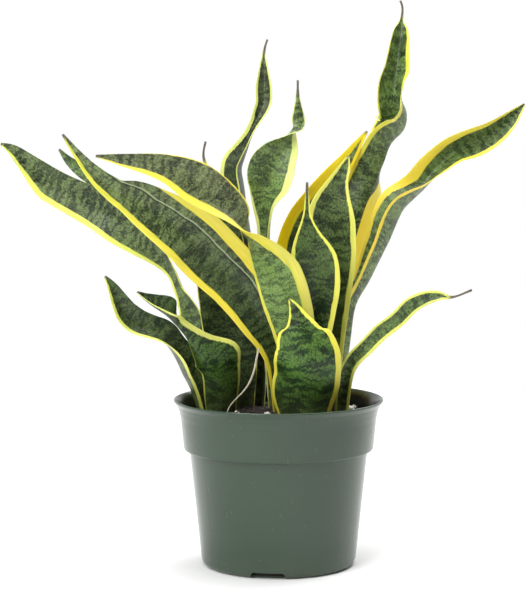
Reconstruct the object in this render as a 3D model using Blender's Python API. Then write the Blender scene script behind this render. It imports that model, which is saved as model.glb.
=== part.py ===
"""Potted snake plant: a nursery pot, its soil and sixteen variegated leaves.

Blender 4.5, metres, +Z up. The origin is the middle of the pot's underside, and the
plant's front looks towards -Y. Every leaf is a channelled, tapering blade. It is set
out by a few stations along its midrib, and each station is a Station below.
"""

import math
import random
from collections import namedtuple

import bmesh
import bpy
from mathutils import Vector

MM = 0.001

# Pot, in millimetres: a 165 mm (6.5 inch) injection-moulded nursery pot.
POT_HEIGHT = 131.0
RIM_RADIUS = 82.5
LIP_DROP = 9.0
BAND_TOP_RADIUS = 78.0
BAND_BOTTOM_RADIUS = 74.8
BAND_BOTTOM = 91.5
BODY_TOP_RADIUS = 70.4
FOOT_RADIUS = 61.0
FOOT_ROUND = 5.0
WALL = 1.5
EDGE_BREAK = 0.8
BAND_FOOT_HEIGHT = 1.2
BAND_CROWN_DROP = 15.0
BAND_CROWN_IN = 1.0
LIP_START_OUT = 0.3
LIP_MIDDLE_OUT = 1.7
LIP_MIDDLE_DROP = 4.5
LIP_WALL_SHARE = 0.8
RIM_BREAK = 0.4
POT_STEPS = 56

# Drain slots in the pot's bottom edge.
SLOT_COUNT = 4
SLOT_WIDTH = 29.0
SLOT_HEIGHT = 5.0
SLOT_DEPTH = 7.0
SLOT_FIRST_ANGLE = -98.0
SLOT_REACH_OUT = 6.0

# Soil.
SOIL_TOP = 118.0
SOIL_GAP = 0.4
SOIL_RINGS = (18.0, 36.0, 52.0, 65.0)
SOIL_STEPS = 32
SOIL_UNEVEN = 1.2
SOIL_MOUND = 1.5
SOIL_RADIUS = 75.0
SOIL_WALL_BELOW = 2.0

# Leaves.
SOCKET_GAP = 0.5
RING_SPACING = 11.0
BLADE_THICKNESS = 2.2
BASE_THICKNESS = 3.6
TIP_THICKNESS = 0.9
BASE_SHARE = 0.3
TIP_SHARE = 0.2
LEAST_HALF = 0.5
SHOULDER = 0.55
TROUGH_POWER = 1.3
THICKEST_SHARE = 1.6
SMOOTH_STEPS = 20
SOCKET_RINGS = 3
MIDRIB_CORNER = 2

# x, y, z place the midrib. half is the width from midrib to margin. turn swings the
# blade about its midrib: 0 shows its upper face to the front, 180 its back. fold is
# how far each half is raised from flat.
Station = namedtuple("Station", "x y z half turn fold")

LEAVES = {
    "leaf_front_short": (
        Station(21, -34, 109, 20, 180, 38),
        Station(20, -36, 135, 29, 180, 30),
        Station(22, -40, 152, 29, 180, 27),
        Station(22, -42, 166, 28, 180, 22),
        Station(20, -42, 178, 25, 180, 20),
        Station(17, -41, 187, 20, 180, 20),
        Station(17, -41, 191, 15, 180, 20),
        Station(15, -40, 198, 9, 180, 22),
        Station(12, -39, 206, 5, 180, 28),
        Station(8, -37, 213, 1, 180, 20),
    ),
    "leaf_big_diagonal": (
        Station(5, 15, 109, 10, 0, 35),
        Station(2, 8, 163, 15, 0, 28),
        Station(-14, 0, 197, 21, 0, 22),
        Station(-30, -5, 222, 24, 0, 20),
        Station(-51, -13, 244, 26, 0, 20),
        Station(-70, -22, 263, 25, 0, 20),
        Station(-106, -35, 287, 17, 0, 20),
        Station(-124, -42, 296, 10, 0, 20),
        Station(-138, -48, 308, 7, 0, 20),
        Station(-149, -53, 321, 4, 0, 20),
        Station(-161, -59, 338, 1, 0, 20),
    ),
    "leaf_half_twist": (
        Station(17, -4, 109, 11, 180, 30),
        Station(15, -8, 157, 15, 183, 24),
        Station(11, -14, 186, 18, 185, 20),
        Station(6, -19, 206, 20, 188, 18),
        Station(-1, -26, 228, 20, 195, 18),
        Station(-9, -34, 242, 17, 210, 20),
        Station(-19, -41, 255, 14, 240, 22),
        Station(-28, -45, 266, 13, 280, 24),
        Station(-37, -50, 281, 15, 322, 24),
        Station(-61, -57, 301, 17, 350, 20),
        Station(-85, -61, 313, 11, 355, 20),
        Station(-117, -63, 319, 5, 355, 25),
        Station(-136, -64, 322, 1, 355, 25),
    ),
    "leaf_far_left": (
        Station(-52, 42, 109, 8, 50, 30),
        Station(-58, 43, 158, 10, 45, 28),
        Station(-67, 44, 190, 13, 38, 26),
        Station(-73, 45, 204, 10, 42, 25),
        Station(-79, 46, 214, 7, 50, 25),
        Station(-86, 45, 229, 7, 45, 24),
        Station(-103, 44, 248, 13, 20, 20),
        Station(-127, 48, 265, 17, 5, 18),
        Station(-146, 52, 278, 17, 5, 18),
        Station(-176, 55, 293, 15, 5, 18),
        Station(-187, 56, 300, 14, 5, 18),
        Station(-202, 56, 314, 9, 5, 18),
        Station(-214, 55, 325, 5, 5, 20),
        Station(-224, 54, 330, 1, 5, 20),
    ),
    "leaf_left_hidden": (
        Station(-24, 56, 109, 9, 0, 35),
        Station(-22, 66, 162, 12, 0, 28),
        Station(-38, 76, 203, 15, 0, 22),
        Station(-62, 84, 232, 15, 0, 20),
        Station(-91, 90, 258, 14, 0, 20),
        Station(-120, 96, 280, 12, 0, 20),
        Station(-144, 100, 297, 9, 0, 20),
        Station(-162, 102, 307, 7, 0, 20),
        Station(-174, 104, 315, 4, 0, 20),
        Station(-183, 106, 325, 1, 0, 20),
    ),
    "leaf_left_upright": (
        Station(-30, 34, 109, 12, 0, 35),
        Station(-34, 36, 145, 19, 0, 28),
        Station(-38, 37, 173, 23, 0, 24),
        Station(-43, 37, 213, 23, 0, 20),
        Station(-48, 36, 253, 21, 0, 20),
        Station(-53, 36, 286, 12, 0, 20),
        Station(-57, 35, 309, 3, 0, 20),
        Station(-60, 35, 321, 1, 0, 20),
        Station(-58, 34, 332, 1, 0, 20),
    ),
    "leaf_low_left": (
        Station(-46, 4, 109, 14, 180, 38),
        Station(-46, 0, 131, 17, 182, 36),
        Station(-46, -3, 143, 18, 185, 34),
        Station(-47, -6, 150, 20, 190, 34),
        Station(-51, -10, 158, 26, 202, 36),
        Station(-64, -15, 173, 15, 212, 40),
        Station(-78, -22, 191, 8, 242, 44),
        Station(-86, -28, 200, 14, 292, 45),
        Station(-97, -33, 208, 9, 302, 45),
        Station(-104, -36, 214, 4, 302, 42),
        Station(-108, -38, 218, 1, 300, 40),
    ),
    "leaf_low_far_left": (
        Station(-60, 18, 109, 9, 290, 44),
        Station(-69, 15, 136, 13, 290, 44),
        Station(-75, 13, 148, 15, 290, 44),
        Station(-80, 10, 160, 16, 290, 44),
        Station(-86, 7, 171, 14, 297, 42),
        Station(-92, 5, 179, 14, 312, 36),
        Station(-102, 3, 184, 13, 322, 34),
        Station(-112, 1, 189, 13, 328, 32),
        Station(-120, -2, 197, 12, 330, 30),
        Station(-125, -5, 207, 9, 330, 28),
        Station(-130, -8, 219, 5, 330, 26),
        Station(-135, -10, 228, 1, 330, 26),
    ),
    "leaf_upper_left": (
        Station(-15, 44, 109, 9, 30, 40),
        Station(-12, 50, 173, 13, 40, 38),
        Station(-16, 56, 212, 16, 50, 36),
        Station(-23, 60, 253, 18, 58, 36),
        Station(-27, 60, 280, 20, 62, 36),
        Station(-29, 60, 296, 20, 62, 37),
        Station(-31, 60, 309, 18, 62, 38),
        Station(-29, 60, 317, 16, 60, 38),
        Station(-26, 60, 326, 11, 56, 38),
        Station(-23, 60, 336, 6, 42, 38),
        Station(-19, 61, 346, 5, 18, 36),
        Station(-15, 62, 355, 7, 5, 36),
        Station(-12, 64, 364, 8, 0, 36),
        Station(-12, 65, 376, 8, 0, 36),
        Station(-12, 66, 389, 5, 0, 36),
        Station(-12, 67, 400, 2, 0, 30),
        Station(-11, 68, 408, 1, 0, 30),
        Station(-9, 69, 414, 1, 0, 30),
    ),
    "leaf_upper_middle": (
        Station(2, 28, 109, 9, 50, 35),
        Station(-3, 25, 174, 11, 58, 30),
        Station(-6, 23, 214, 11, 62, 28),
        Station(-8, 22, 250, 11, 66, 28),
        Station(-8, 21, 268, 12, 60, 26),
        Station(-8, 21, 284, 14, 40, 24),
        Station(-6, 20, 297, 18, 15, 22),
        Station(-5, 19, 312, 20, 0, 22),
        Station(3, 18, 327, 14, -10, 24),
        Station(9, 17, 338, 7, -60, 26),
        Station(13, 17, 344, 7, -130, 26),
        Station(15, 17, 350, 6, -165, 24),
        Station(15, 16, 361, 3, -175, 24),
        Station(15, 16, 372, 1, -180, 20),
        Station(15, 16, 380, 1, -180, 20),
    ),
    "leaf_tallest": (
        Station(35, 51, 109, 9, 160, 40),
        Station(40, 56, 170, 13, 160, 36),
        Station(49, 62, 211, 16, 166, 28),
        Station(60, 70, 251, 19, 168, 26),
        Station(69, 74, 280, 21, 162, 28),
        Station(77, 76, 297, 21, 152, 34),
        Station(85, 78, 314, 22, 118, 45),
        Station(91, 79, 330, 24, 92, 48),
        Station(102, 79, 342, 26, 72, 50),
        Station(104, 80, 355, 24, 55, 50),
        Station(98, 82, 366, 19, 32, 50),
        Station(95, 84, 378, 17, 12, 50),
        Station(96, 86, 389, 16, 0, 50),
        Station(98, 88, 406, 13, 0, 50),
        Station(100, 90, 420, 9, 0, 45),
        Station(101, 93, 430, 2, 0, 30),
        Station(102, 95, 441, 1, 0, 30),
        Station(100, 95, 447, 1, 0, 30),
    ),
    "leaf_right_behind": (
        Station(20, 45, 109, 10, 0, 35),
        Station(16, 50, 171, 12, -10, 10),
        Station(11, 56, 211, 14, -10, 10),
        Station(11, 60, 244, 14, -10, 10),
        Station(19, 63, 268, 13, -10, 10),
        Station(32, 65, 286, 12, -10, 10),
        Station(44, 67, 302, 10, -10, 10),
        Station(55, 68, 316, 7, -10, 10),
        Station(64, 69, 329, 4, -10, 10),
        Station(72, 70, 340, 1, 0, 20),
    ),
    "leaf_right_broad": (
        Station(38, 24, 109, 10, 0, 35),
        Station(39, 24, 166, 14, 0, 28),
        Station(40, 24, 206, 18, 0, 22),
        Station(41, 23, 238, 21, 0, 20),
        Station(41, 22, 262, 21, 0, 20),
        Station(42, 21, 281, 18, 0, 20),
        Station(47, 20, 300, 9, 0, 20),
        Station(52, 19, 312, 5, 0, 20),
        Station(55, 18, 321, 1, 0, 20),
    ),
    "leaf_front_pointed": (
        Station(28, 10, 109, 9, 0, 35),
        Station(27, 4, 168, 14, 0, 28),
        Station(28, 0, 200, 18, 0, 22),
        Station(28, -3, 220, 21, 0, 20),
        Station(28, -5, 237, 20, 0, 20),
        Station(25, -7, 249, 17, 0, 20),
        Station(23, -8, 260, 11, 0, 20),
        Station(22, -10, 274, 4, 0, 20),
        Station(22, -12, 287, 2, 0, 20),
        Station(22, -14, 301, 1, 0, 20),
    ),
    "leaf_right_long": (
        Station(47, 35, 109, 8, 95, 40),
        Station(56, 37, 169, 10, 92, 40),
        Station(61, 40, 200, 13, 88, 40),
        Station(72, 43, 220, 16, 84, 42),
        Station(83, 45, 242, 19, 80, 44),
        Station(89, 46, 254, 21, 80, 45),
        Station(94, 47, 266, 23, 78, 45),
        Station(100, 48, 278, 23, 74, 46),
        Station(109, 49, 287, 19, 66, 47),
        Station(117, 50, 295, 17, 50, 48),
        Station(126, 52, 308, 17, 26, 48),
        Station(140, 56, 322, 17, 10, 48),
        Station(155, 60, 330, 17, 0, 46),
        Station(171, 64, 337, 14, 0, 44),
        Station(186, 68, 348, 9, 0, 40),
        Station(200, 72, 362, 1, 0, 30),
    ),
    "leaf_low_right": (
        Station(49, 1, 109, 6, 0, 35),
        Station(52, -4, 147, 7, 0, 32),
        Station(58, -7, 162, 7, 0, 30),
        Station(68, -11, 173, 7, 0, 25),
        Station(79, -15, 185, 7, 0, 22),
        Station(91, -20, 195, 7, 0, 22),
        Station(102, -25, 207, 7, 0, 22),
        Station(113, -29, 213, 6, 0, 22),
        Station(123, -33, 215, 4, 0, 22),
        Station(133, -36, 214, 1, 0, 22),
        Station(147, -41, 220, 1, 0, 22),
    ),
}

# The dried fibre that hangs from the clump to the soil: its path and its radius.
FIBRE_PATH = (
    (-15, -14, 172), (-17, -15, 165), (-19, -16, 155), (-23, -17, 145),
    (-28, -17, 138), (-33, -17, 133), (-38, -17, 127), (-41, -16, 120),
)
FIBRE_RADIUS = 0.8
FIBRE_SIDES = 6

# Perlite grains on the soil: x, y and radius.
PERLITE = (
    (50, 20, 2.6), (57, 14, 3.2), (60, 26, 2.2), (-16, 62, 2.4), (-9, -14, 2.0), (3, -16, 1.8),
)
PERLITE_GAP = 0.4

GREEN = (0.045, 0.10, 0.05, 1.0)
POT_GREEN = (0.09, 0.15, 0.115, 1.0)
SOIL_BROWN = (0.012, 0.009, 0.007, 1.0)
FIBRE_COLOUR = (0.45, 0.40, 0.28, 1.0)
PERLITE_COLOUR = (0.75, 0.73, 0.68, 1.0)


def clear_scene():
    """Remove every object of the open scene."""
    for item in list(bpy.data.objects):
        bpy.data.objects.remove(item, do_unlink=True)


def make_material(name, colour, roughness):
    """A Principled material."""
    material = bpy.data.materials.new(name)
    material.use_nodes = True
    shader = material.node_tree.nodes["Principled BSDF"]
    shader.inputs["Base Color"].default_value = colour
    shader.inputs["Roughness"].default_value = roughness
    return material


def add_object(name, mesh_builder, material):
    """Turn a bmesh into a named, smooth-shaded object, and return it."""
    mesh = bpy.data.meshes.new(name)
    bmesh.ops.recalc_face_normals(mesh_builder, faces=mesh_builder.faces)
    mesh_builder.to_mesh(mesh)
    mesh_builder.free()
    mesh.shade_smooth()
    mesh.set_sharp_from_angle(angle=math.radians(40))
    mesh.materials.append(material)
    item = bpy.data.objects.new(name, mesh)
    bpy.context.scene.collection.objects.link(item)
    return item


def turned_solid(profile, steps):
    """Spin a closed profile of (radius, height) points, in mm, about the Z axis."""
    builder = bmesh.new()
    corners = []
    for radius, height in profile:
        corners.append(builder.verts.new((radius * MM, 0.0, height * MM)))
    edges = []
    for first, second in zip(corners, corners[1:] + corners[:1]):
        if abs(first.co.x) + abs(second.co.x) > 0:
            edges.append(builder.edges.new((first, second)))
    bmesh.ops.spin(
        builder, geom=corners + edges, cent=(0, 0, 0), axis=(0, 0, 1),
        angle=math.tau, steps=steps, use_merge=True,
    )
    bmesh.ops.remove_doubles(builder, verts=builder.verts, dist=1e-6)
    return builder


def arc(centre, radius, start, end, count):
    """Points of a circular arc in the profile plane, angles in degrees."""
    points = []
    for step in range(count + 1):
        angle = math.radians(start + (end - start) * step / count)
        points.append((centre[0] + radius * math.cos(angle),
                       centre[1] + radius * math.sin(angle)))
    return points


def wall_line(offset):
    """The pot wall from its foot to its rim, moved in by offset, as (radius, height)."""
    round_radius = FOOT_ROUND - offset
    line = arc((FOOT_RADIUS - FOOT_ROUND, FOOT_ROUND), round_radius, -90, 0, 4)
    line += [
        (BODY_TOP_RADIUS - offset, BAND_BOTTOM - EDGE_BREAK + offset),
        (BAND_BOTTOM_RADIUS - EDGE_BREAK - offset, BAND_BOTTOM + offset),
        (BAND_BOTTOM_RADIUS - offset, BAND_BOTTOM + BAND_FOOT_HEIGHT + offset),
        (BAND_TOP_RADIUS - BAND_CROWN_IN - offset, POT_HEIGHT - BAND_CROWN_DROP),
        (BAND_TOP_RADIUS + LIP_START_OUT - offset, POT_HEIGHT - LIP_DROP),
        (BAND_TOP_RADIUS + LIP_MIDDLE_OUT - offset, POT_HEIGHT - LIP_MIDDLE_DROP),
        (RIM_RADIUS - offset * LIP_WALL_SHARE, POT_HEIGHT - RIM_BREAK),
        (RIM_RADIUS - RIM_BREAK - offset * LIP_WALL_SHARE, POT_HEIGHT),
    ]
    return line


def make_pot(material):
    """The thin-walled pot with its rim band, flared lip and drain slots."""
    profile = [(0.0, 0.0)] + wall_line(0.0)
    profile += list(reversed(wall_line(WALL))) + [(0.0, WALL)]
    pot = add_object("pot", turned_solid(profile, POT_STEPS), material)
    for index in range(SLOT_COUNT):
        cut_drain_slot(pot, SLOT_FIRST_ANGLE + index * 360.0 / SLOT_COUNT)
    return pot


def cut_drain_slot(pot, angle):
    """Cut one slot through the bottom edge of the pot."""
    builder = bmesh.new()
    bmesh.ops.create_cube(builder, size=1.0)
    cutter = add_object("slot_cutter", builder, pot.data.materials[0])
    length = SLOT_DEPTH + SLOT_REACH_OUT
    middle = FOOT_RADIUS - SLOT_DEPTH + length / 2
    turn = math.radians(angle)
    cutter.scale = (length * MM, SLOT_WIDTH * MM, 2 * SLOT_HEIGHT * MM)
    cutter.rotation_euler = (0.0, 0.0, turn)
    cutter.location = (middle * math.cos(turn) * MM, middle * math.sin(turn) * MM, 0.0)
    cutter.hide_render = True
    cutter.display_type = "WIRE"
    cut = pot.modifiers.new("drain_slot", "BOOLEAN")
    cut.object = cutter
    cut.solver = "EXACT"


def soil_surface(radius, angle, noise):
    """Height of the soil: gently mounded, a little uneven."""
    mound = SOIL_MOUND * math.cos(radius / SOIL_RADIUS * math.pi / 2)
    swell = 0.5 * math.sin(3 * angle) + 0.4 * math.cos(5 * angle + 1.0)
    return SOIL_TOP + mound + swell * radius / SOIL_RADIUS + noise


def make_soil(material):
    """The soil: it fills the pot to a little below the rim."""
    inner = wall_line(WALL + SOIL_GAP)
    side = [point for point in inner if point[1] < SOIL_TOP - SOIL_WALL_BELOW]
    top_radius = BAND_TOP_RADIUS - BAND_CROWN_IN - WALL - SOIL_GAP
    generator = random.Random(7)
    builder = bmesh.new()
    rings = []
    for radius, height in side:
        rings.append([(radius, height)] * SOIL_STEPS)
    edge = []
    for step in range(SOIL_STEPS):
        angle = math.tau * step / SOIL_STEPS
        edge.append((top_radius - 0.2, soil_surface(top_radius, angle, 0.0)))
    rings.append(edge)
    for radius in reversed(SOIL_RINGS):
        ring = []
        for step in range(SOIL_STEPS):
            angle = math.tau * step / SOIL_STEPS
            noise = generator.uniform(-SOIL_UNEVEN, SOIL_UNEVEN) / 2
            ring.append((radius, soil_surface(radius, angle, noise)))
        rings.append(ring)
    loops = []
    for ring in rings:
        loop = []
        for step, (radius, height) in enumerate(ring):
            angle = math.tau * step / SOIL_STEPS
            loop.append(builder.verts.new((radius * math.cos(angle) * MM,
                                           radius * math.sin(angle) * MM, height * MM)))
        loops.append(loop)
    close_loft(builder, loops)
    return add_object("soil", builder, material)


def close_loft(builder, loops):
    """Skin a list of vertex loops and cap both ends with a fan from the midrib."""
    for lower, upper in zip(loops, loops[1:]):
        count = len(lower)
        for index in range(count):
            after = (index + 1) % count
            builder.faces.new((lower[index], lower[after], upper[after]))
            builder.faces.new((lower[index], upper[after], upper[index]))
    for loop in (loops[0], loops[-1]):
        opposite = MIDRIB_CORNER + len(loop) // 2
        hub = builder.verts.new((loop[MIDRIB_CORNER].co + loop[opposite].co) / 2)
        for index, vertex in enumerate(loop):
            builder.faces.new((vertex, loop[(index + 1) % len(loop)], hub))


def smooth_value(before, start, end, after, share):
    """Catmull-Rom interpolation from start to end."""
    slope_start = (end - before) / 2
    slope_end = (after - start) / 2
    square = share * share
    cube = square * share
    return ((2 * cube - 3 * square + 1) * start + (cube - 2 * square + share) * slope_start
            + (3 * square - 2 * cube) * end + (cube - square) * slope_end)


def smooth_station(stations, position):
    """The station at a fractional position along the list."""
    index = min(int(position), len(stations) - 2)
    share = position - index
    start = stations[index]
    end = stations[index + 1]
    before = stations[index - 1] if index > 0 else start
    after = stations[index + 2] if index + 2 < len(stations) else end
    values = []
    for group in zip(before, start, end, after):
        values.append(smooth_value(*group, share))
    blend = Station(*values)
    return blend._replace(half=max(blend.half, LEAST_HALF))


def even_stations(stations):
    """Resample the stations at an even spacing along the midrib."""
    fine = []
    for step in range((len(stations) - 1) * SMOOTH_STEPS + 1):
        fine.append(smooth_station(stations, step / SMOOTH_STEPS))
    lengths = [0.0]
    for first, second in zip(fine, fine[1:]):
        lengths.append(lengths[-1] + math.dist(first[:3], second[:3]))
    count = max(8, round(lengths[-1] / RING_SPACING))
    even = []
    index = 0
    for step in range(count + 1):
        goal = lengths[-1] * step / count
        while index < len(lengths) - 2 and lengths[index + 1] < goal:
            index += 1
        nearer = index if goal - lengths[index] < lengths[index + 1] - goal else index + 1
        even.append(fine[nearer])
    return even


def blade_thickness(along):
    """Thickness of the blade at a share of its length: stout at the base."""
    body = BLADE_THICKNESS + (BASE_THICKNESS - BLADE_THICKNESS) * max(0.0, 1 - along / BASE_SHARE)
    tip = max(0.0, (along - 1 + TIP_SHARE) / TIP_SHARE)
    return body + (TIP_THICKNESS - body) * tip


def leaf_section(station, tangent, thickness, swell):
    """The eight corners of one cross-section, in mm, anticlockwise."""
    view = Vector((0, 1, 0))
    side = tangent.cross(view).normalized()
    depth = (view - tangent * view.dot(tangent)).normalized()
    turn = math.radians(station.turn)
    across = side * math.cos(turn) + depth * math.sin(turn)
    normal = tangent.cross(across)
    fold = math.radians(station.fold)
    middle = Vector(station[:3])
    corners = []
    for share, lift in ((-1, 0), (-SHOULDER, 1), (0, 1), (SHOULDER, 1), (1, 0),
                        (SHOULDER, -1), (0, -1), (-SHOULDER, -1)):
        rise = abs(share) ** TROUGH_POWER
        out = across * share * math.cos(fold) + normal * rise * math.sin(fold)
        skin = normal * lift * (thickness / 2 + swell)
        corners.append(middle + out * (station.half + swell) + skin)
    return corners


def leaf_loops(stations, swell=0.0):
    """Cross-sections of a whole leaf, each a list of corners in mm."""
    even = even_stations(stations)
    sections = []
    for index, station in enumerate(even):
        before = Vector(even[max(index - 1, 0)][:3])
        after = Vector(even[min(index + 1, len(even) - 1)][:3])
        thickness = blade_thickness(index / (len(even) - 1))
        thickness = min(thickness, station.half * THICKEST_SHARE)
        sections.append(leaf_section(station, (after - before).normalized(), thickness, swell))
    return sections


def leaf_builder(sections):
    """A bmesh that skins the cross-sections."""
    builder = bmesh.new()
    loops = []
    for corners in sections:
        loops.append([builder.verts.new(corner * MM) for corner in corners])
    close_loft(builder, loops)
    return builder


def make_leaf(name, stations, material):
    """One leaf."""
    return add_object(name, leaf_builder(leaf_loops(stations)), material)


def cut_socket(soil, name, stations):
    """Cut the hole in the soil that a leaf's base stands in."""
    sections = leaf_loops(stations, SOCKET_GAP)[:SOCKET_RINGS]
    sections.insert(0, [corner - Vector((0, 0, SOCKET_GAP)) for corner in sections[0]])
    cutter = add_object(name + "_socket", leaf_builder(sections), soil.data.materials[0])
    cutter.hide_render = True
    cutter.display_type = "WIRE"
    cut = soil.modifiers.new(name, "BOOLEAN")
    cut.object = cutter
    cut.solver = "EXACT"


def make_fibre(material):
    """The dried fibre, a thin round tube along its path."""
    builder = bmesh.new()
    loops = []
    points = [Vector(point) for point in FIBRE_PATH]
    for index, point in enumerate(points):
        before = points[max(index - 1, 0)]
        after = points[min(index + 1, len(points) - 1)]
        tangent = (after - before).normalized()
        side = tangent.cross(Vector((0, 1, 0))).normalized()
        front = tangent.cross(side)
        loop = []
        for step in range(FIBRE_SIDES):
            angle = math.tau * step / FIBRE_SIDES
            offset = (side * math.cos(angle) + front * math.sin(angle)) * FIBRE_RADIUS
            loop.append(builder.verts.new((point + offset) * MM))
        loops.append(loop)
    close_loft(builder, loops)
    return add_object("dried_fibre", builder, material)


def make_perlite(index, x, y, radius, material):
    """One grain of perlite, a rough pebble resting on the soil."""
    generator = random.Random(20 + index)
    height = soil_surface(math.hypot(x, y), math.atan2(y, x), SOIL_UNEVEN / 2)
    builder = bmesh.new()
    bmesh.ops.create_icosphere(builder, subdivisions=1, radius=radius * MM)
    centre = Vector((x, y, height + radius + PERLITE_GAP)) * MM
    for vertex in builder.verts:
        vertex.co = vertex.co * generator.uniform(0.75, 1.0) + centre
    return add_object("perlite_%d" % (index + 1), builder, material)


def build():
    """Make every piece."""
    clear_scene()
    pot_plastic = make_material("pot_plastic", POT_GREEN, 0.3)
    potting_mix = make_material("potting_mix", SOIL_BROWN, 0.95)
    leaf_skin = make_material("leaf_skin", GREEN, 0.4)
    make_pot(pot_plastic)
    soil = make_soil(potting_mix)
    make_fibre(make_material("dry_fibre", FIBRE_COLOUR, 0.7))
    white_grain = make_material("perlite", PERLITE_COLOUR, 0.9)
    for index, (x, y, radius) in enumerate(PERLITE):
        make_perlite(index, x, y, radius, white_grain)
    for name, stations in LEAVES.items():
        make_leaf(name, stations, leaf_skin)
        cut_socket(soil, name, stations)


build()
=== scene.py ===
"""Looks of the potted snake plant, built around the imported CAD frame."""

import math
import random
from collections import namedtuple

import bmesh
import bpy
import numpy as np
from mathutils import Euler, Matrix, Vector, noise


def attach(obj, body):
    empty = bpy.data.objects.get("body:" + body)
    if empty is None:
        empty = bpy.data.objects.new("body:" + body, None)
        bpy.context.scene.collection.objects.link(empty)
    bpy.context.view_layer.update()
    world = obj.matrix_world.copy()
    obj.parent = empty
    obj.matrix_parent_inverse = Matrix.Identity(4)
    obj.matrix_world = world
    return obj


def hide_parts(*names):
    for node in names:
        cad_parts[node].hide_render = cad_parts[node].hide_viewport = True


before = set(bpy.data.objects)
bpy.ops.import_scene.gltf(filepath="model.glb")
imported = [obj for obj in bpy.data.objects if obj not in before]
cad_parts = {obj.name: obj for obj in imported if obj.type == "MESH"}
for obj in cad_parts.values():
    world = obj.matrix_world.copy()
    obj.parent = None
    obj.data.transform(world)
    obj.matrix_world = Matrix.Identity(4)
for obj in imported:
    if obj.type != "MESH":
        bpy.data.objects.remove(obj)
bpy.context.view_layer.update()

MM = 0.001
BODY = "root"

# Camera: level with the leaves and a little above the pot, looking at its front.
CAMERA_PLACE = (0.0, -1.457, 0.3432)
CAMERA_TILT = 5.25
SENSOR = 36.0
LENS = 112.46
CAMERA_SHIFT = -0.0261

# Studio: how bright it is as a soft fill, and mirrored from the front. Each light is a
# square box: name, place, width in metres, power in watts.
WORLD_FILL = 0.20
FRONT_GLOSS = 0.14
FLOOR_RADIUS = 1.0
FLOOR_SIDES = 64
LIGHT_AIM = (0.0, 0.0, 0.2)
LIGHTS = (
    ("key", (-1.0, -1.4, 1.3), 1.3, 44.0),
    ("fill", (1.7, -1.0, 0.9), 1.2, 3.0),
    ("top", (0.1, 0.2, 1.9), 1.8, 50.0),
    ("back", (0.9, 1.0, 1.4), 1.2, 12.0),
)

# Pot, in millimetres, as in the CAD.
POT_HEIGHT = 131.0
RIM_RADIUS = 82.5
LIP_DROP = 9.0
BAND_TOP_RADIUS = 78.0
BAND_BOTTOM_RADIUS = 74.8
BAND_BOTTOM = 91.5
CROWN_RADIUS = 77.0
CROWN_HEIGHT = 116.0
BODY_TOP_RADIUS = 70.4
FOOT_RADIUS = 61.0
FOOT_ROUND = 5.0
WALL = 1.5
FLOOR_INNER_RADIUS = 20.0
OUTER_EDGE_ROUND = 0.7
INNER_EDGE_ROUND = 0.8
POT_STEPS = 192
SHARP_ANGLE = 42.0
SLOT_COUNT = 4
SLOT_WIDTH = 29.0
SLOT_HEIGHT = 5.0
SLOT_DEPTH = 7.0
SLOT_REACH_OUT = 6.0
SLOT_REACH_DOWN = 3.0
SLOT_CORNER = 3.0
SLOT_FIRST_ANGLE = -98.0

# Soil. Its lumps are (height, length, seed).
SOIL_TOP = 118.0
SOIL_SETTLED = 0.4
SOIL_GAP = 0.6
SOIL_RADIUS = 75.0
SOIL_MOUND = 1.5
SOIL_LUMPS = ((1.1, 11.0, 0.0), (0.7, 4.0, 3.0), (0.4, 1.7, 9.0))
SOIL_STEPS = 150
SOIL_RING_COUNT = 46
CRUMB_COUNT = 1300
CRUMB_REACH = 74.0
CRUMB_SEED = 11
SHRED_COUNT = 170
SHRED_REACH = 70.0
SHRED_STEPS = 4
GRAIN_SEED = 40
BIT_COUNT = 46
BIT_REACH = 72.0
BIT_SEED = 77
FIBRE_RADIUS = 0.72
FIBRE_STEPS = 8
FIBRE_SIDES = 10

# Leaves, in millimetres and shares of the length.
FINE_STEPS = 24
RING_SPACING = 2.4
LEAST_RINGS = 24
LEAST_HALF = 0.35
ACROSS_POINTS = 19
BLADE_THICKNESS = 2.2
BASE_THICKNESS = 3.8
BASE_SHARE = 0.3
TIP_THICKNESS = 0.9
TIP_SHARE = 0.2
THICKEST_SHARE = 1.5
MARGIN_THICKNESS = 0.55
MARGIN_START = 0.90
TROUGH_POWER = 1.3
# A slow and a quick wave along the margins, then how far they move them out and up.
LONG_WAVE = 34.0
SHORT_WAVE = 11.0
SHORT_WAVE_SHARE = 0.4
EDGE_WAVE = 0.022
RIPPLE = 0.25
RIPPLE_HALF = 8.0
# Each leaf number is spread by these into the waves' and the pattern's seeds.
LONG_SEED = 7.1
SHORT_SEED = 3.3
PATTERN_SEED = 13.7
# The dry thread at the tip, and the shade near the soil.
THREAD_START = 0.85
THREAD_HALF = 1.9
THREAD_BLEND = 0.7
SHADE_BOTTOM = 114.0
SHADE_HEIGHT = 44.0
SHADE_POWER = 1.4

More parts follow.
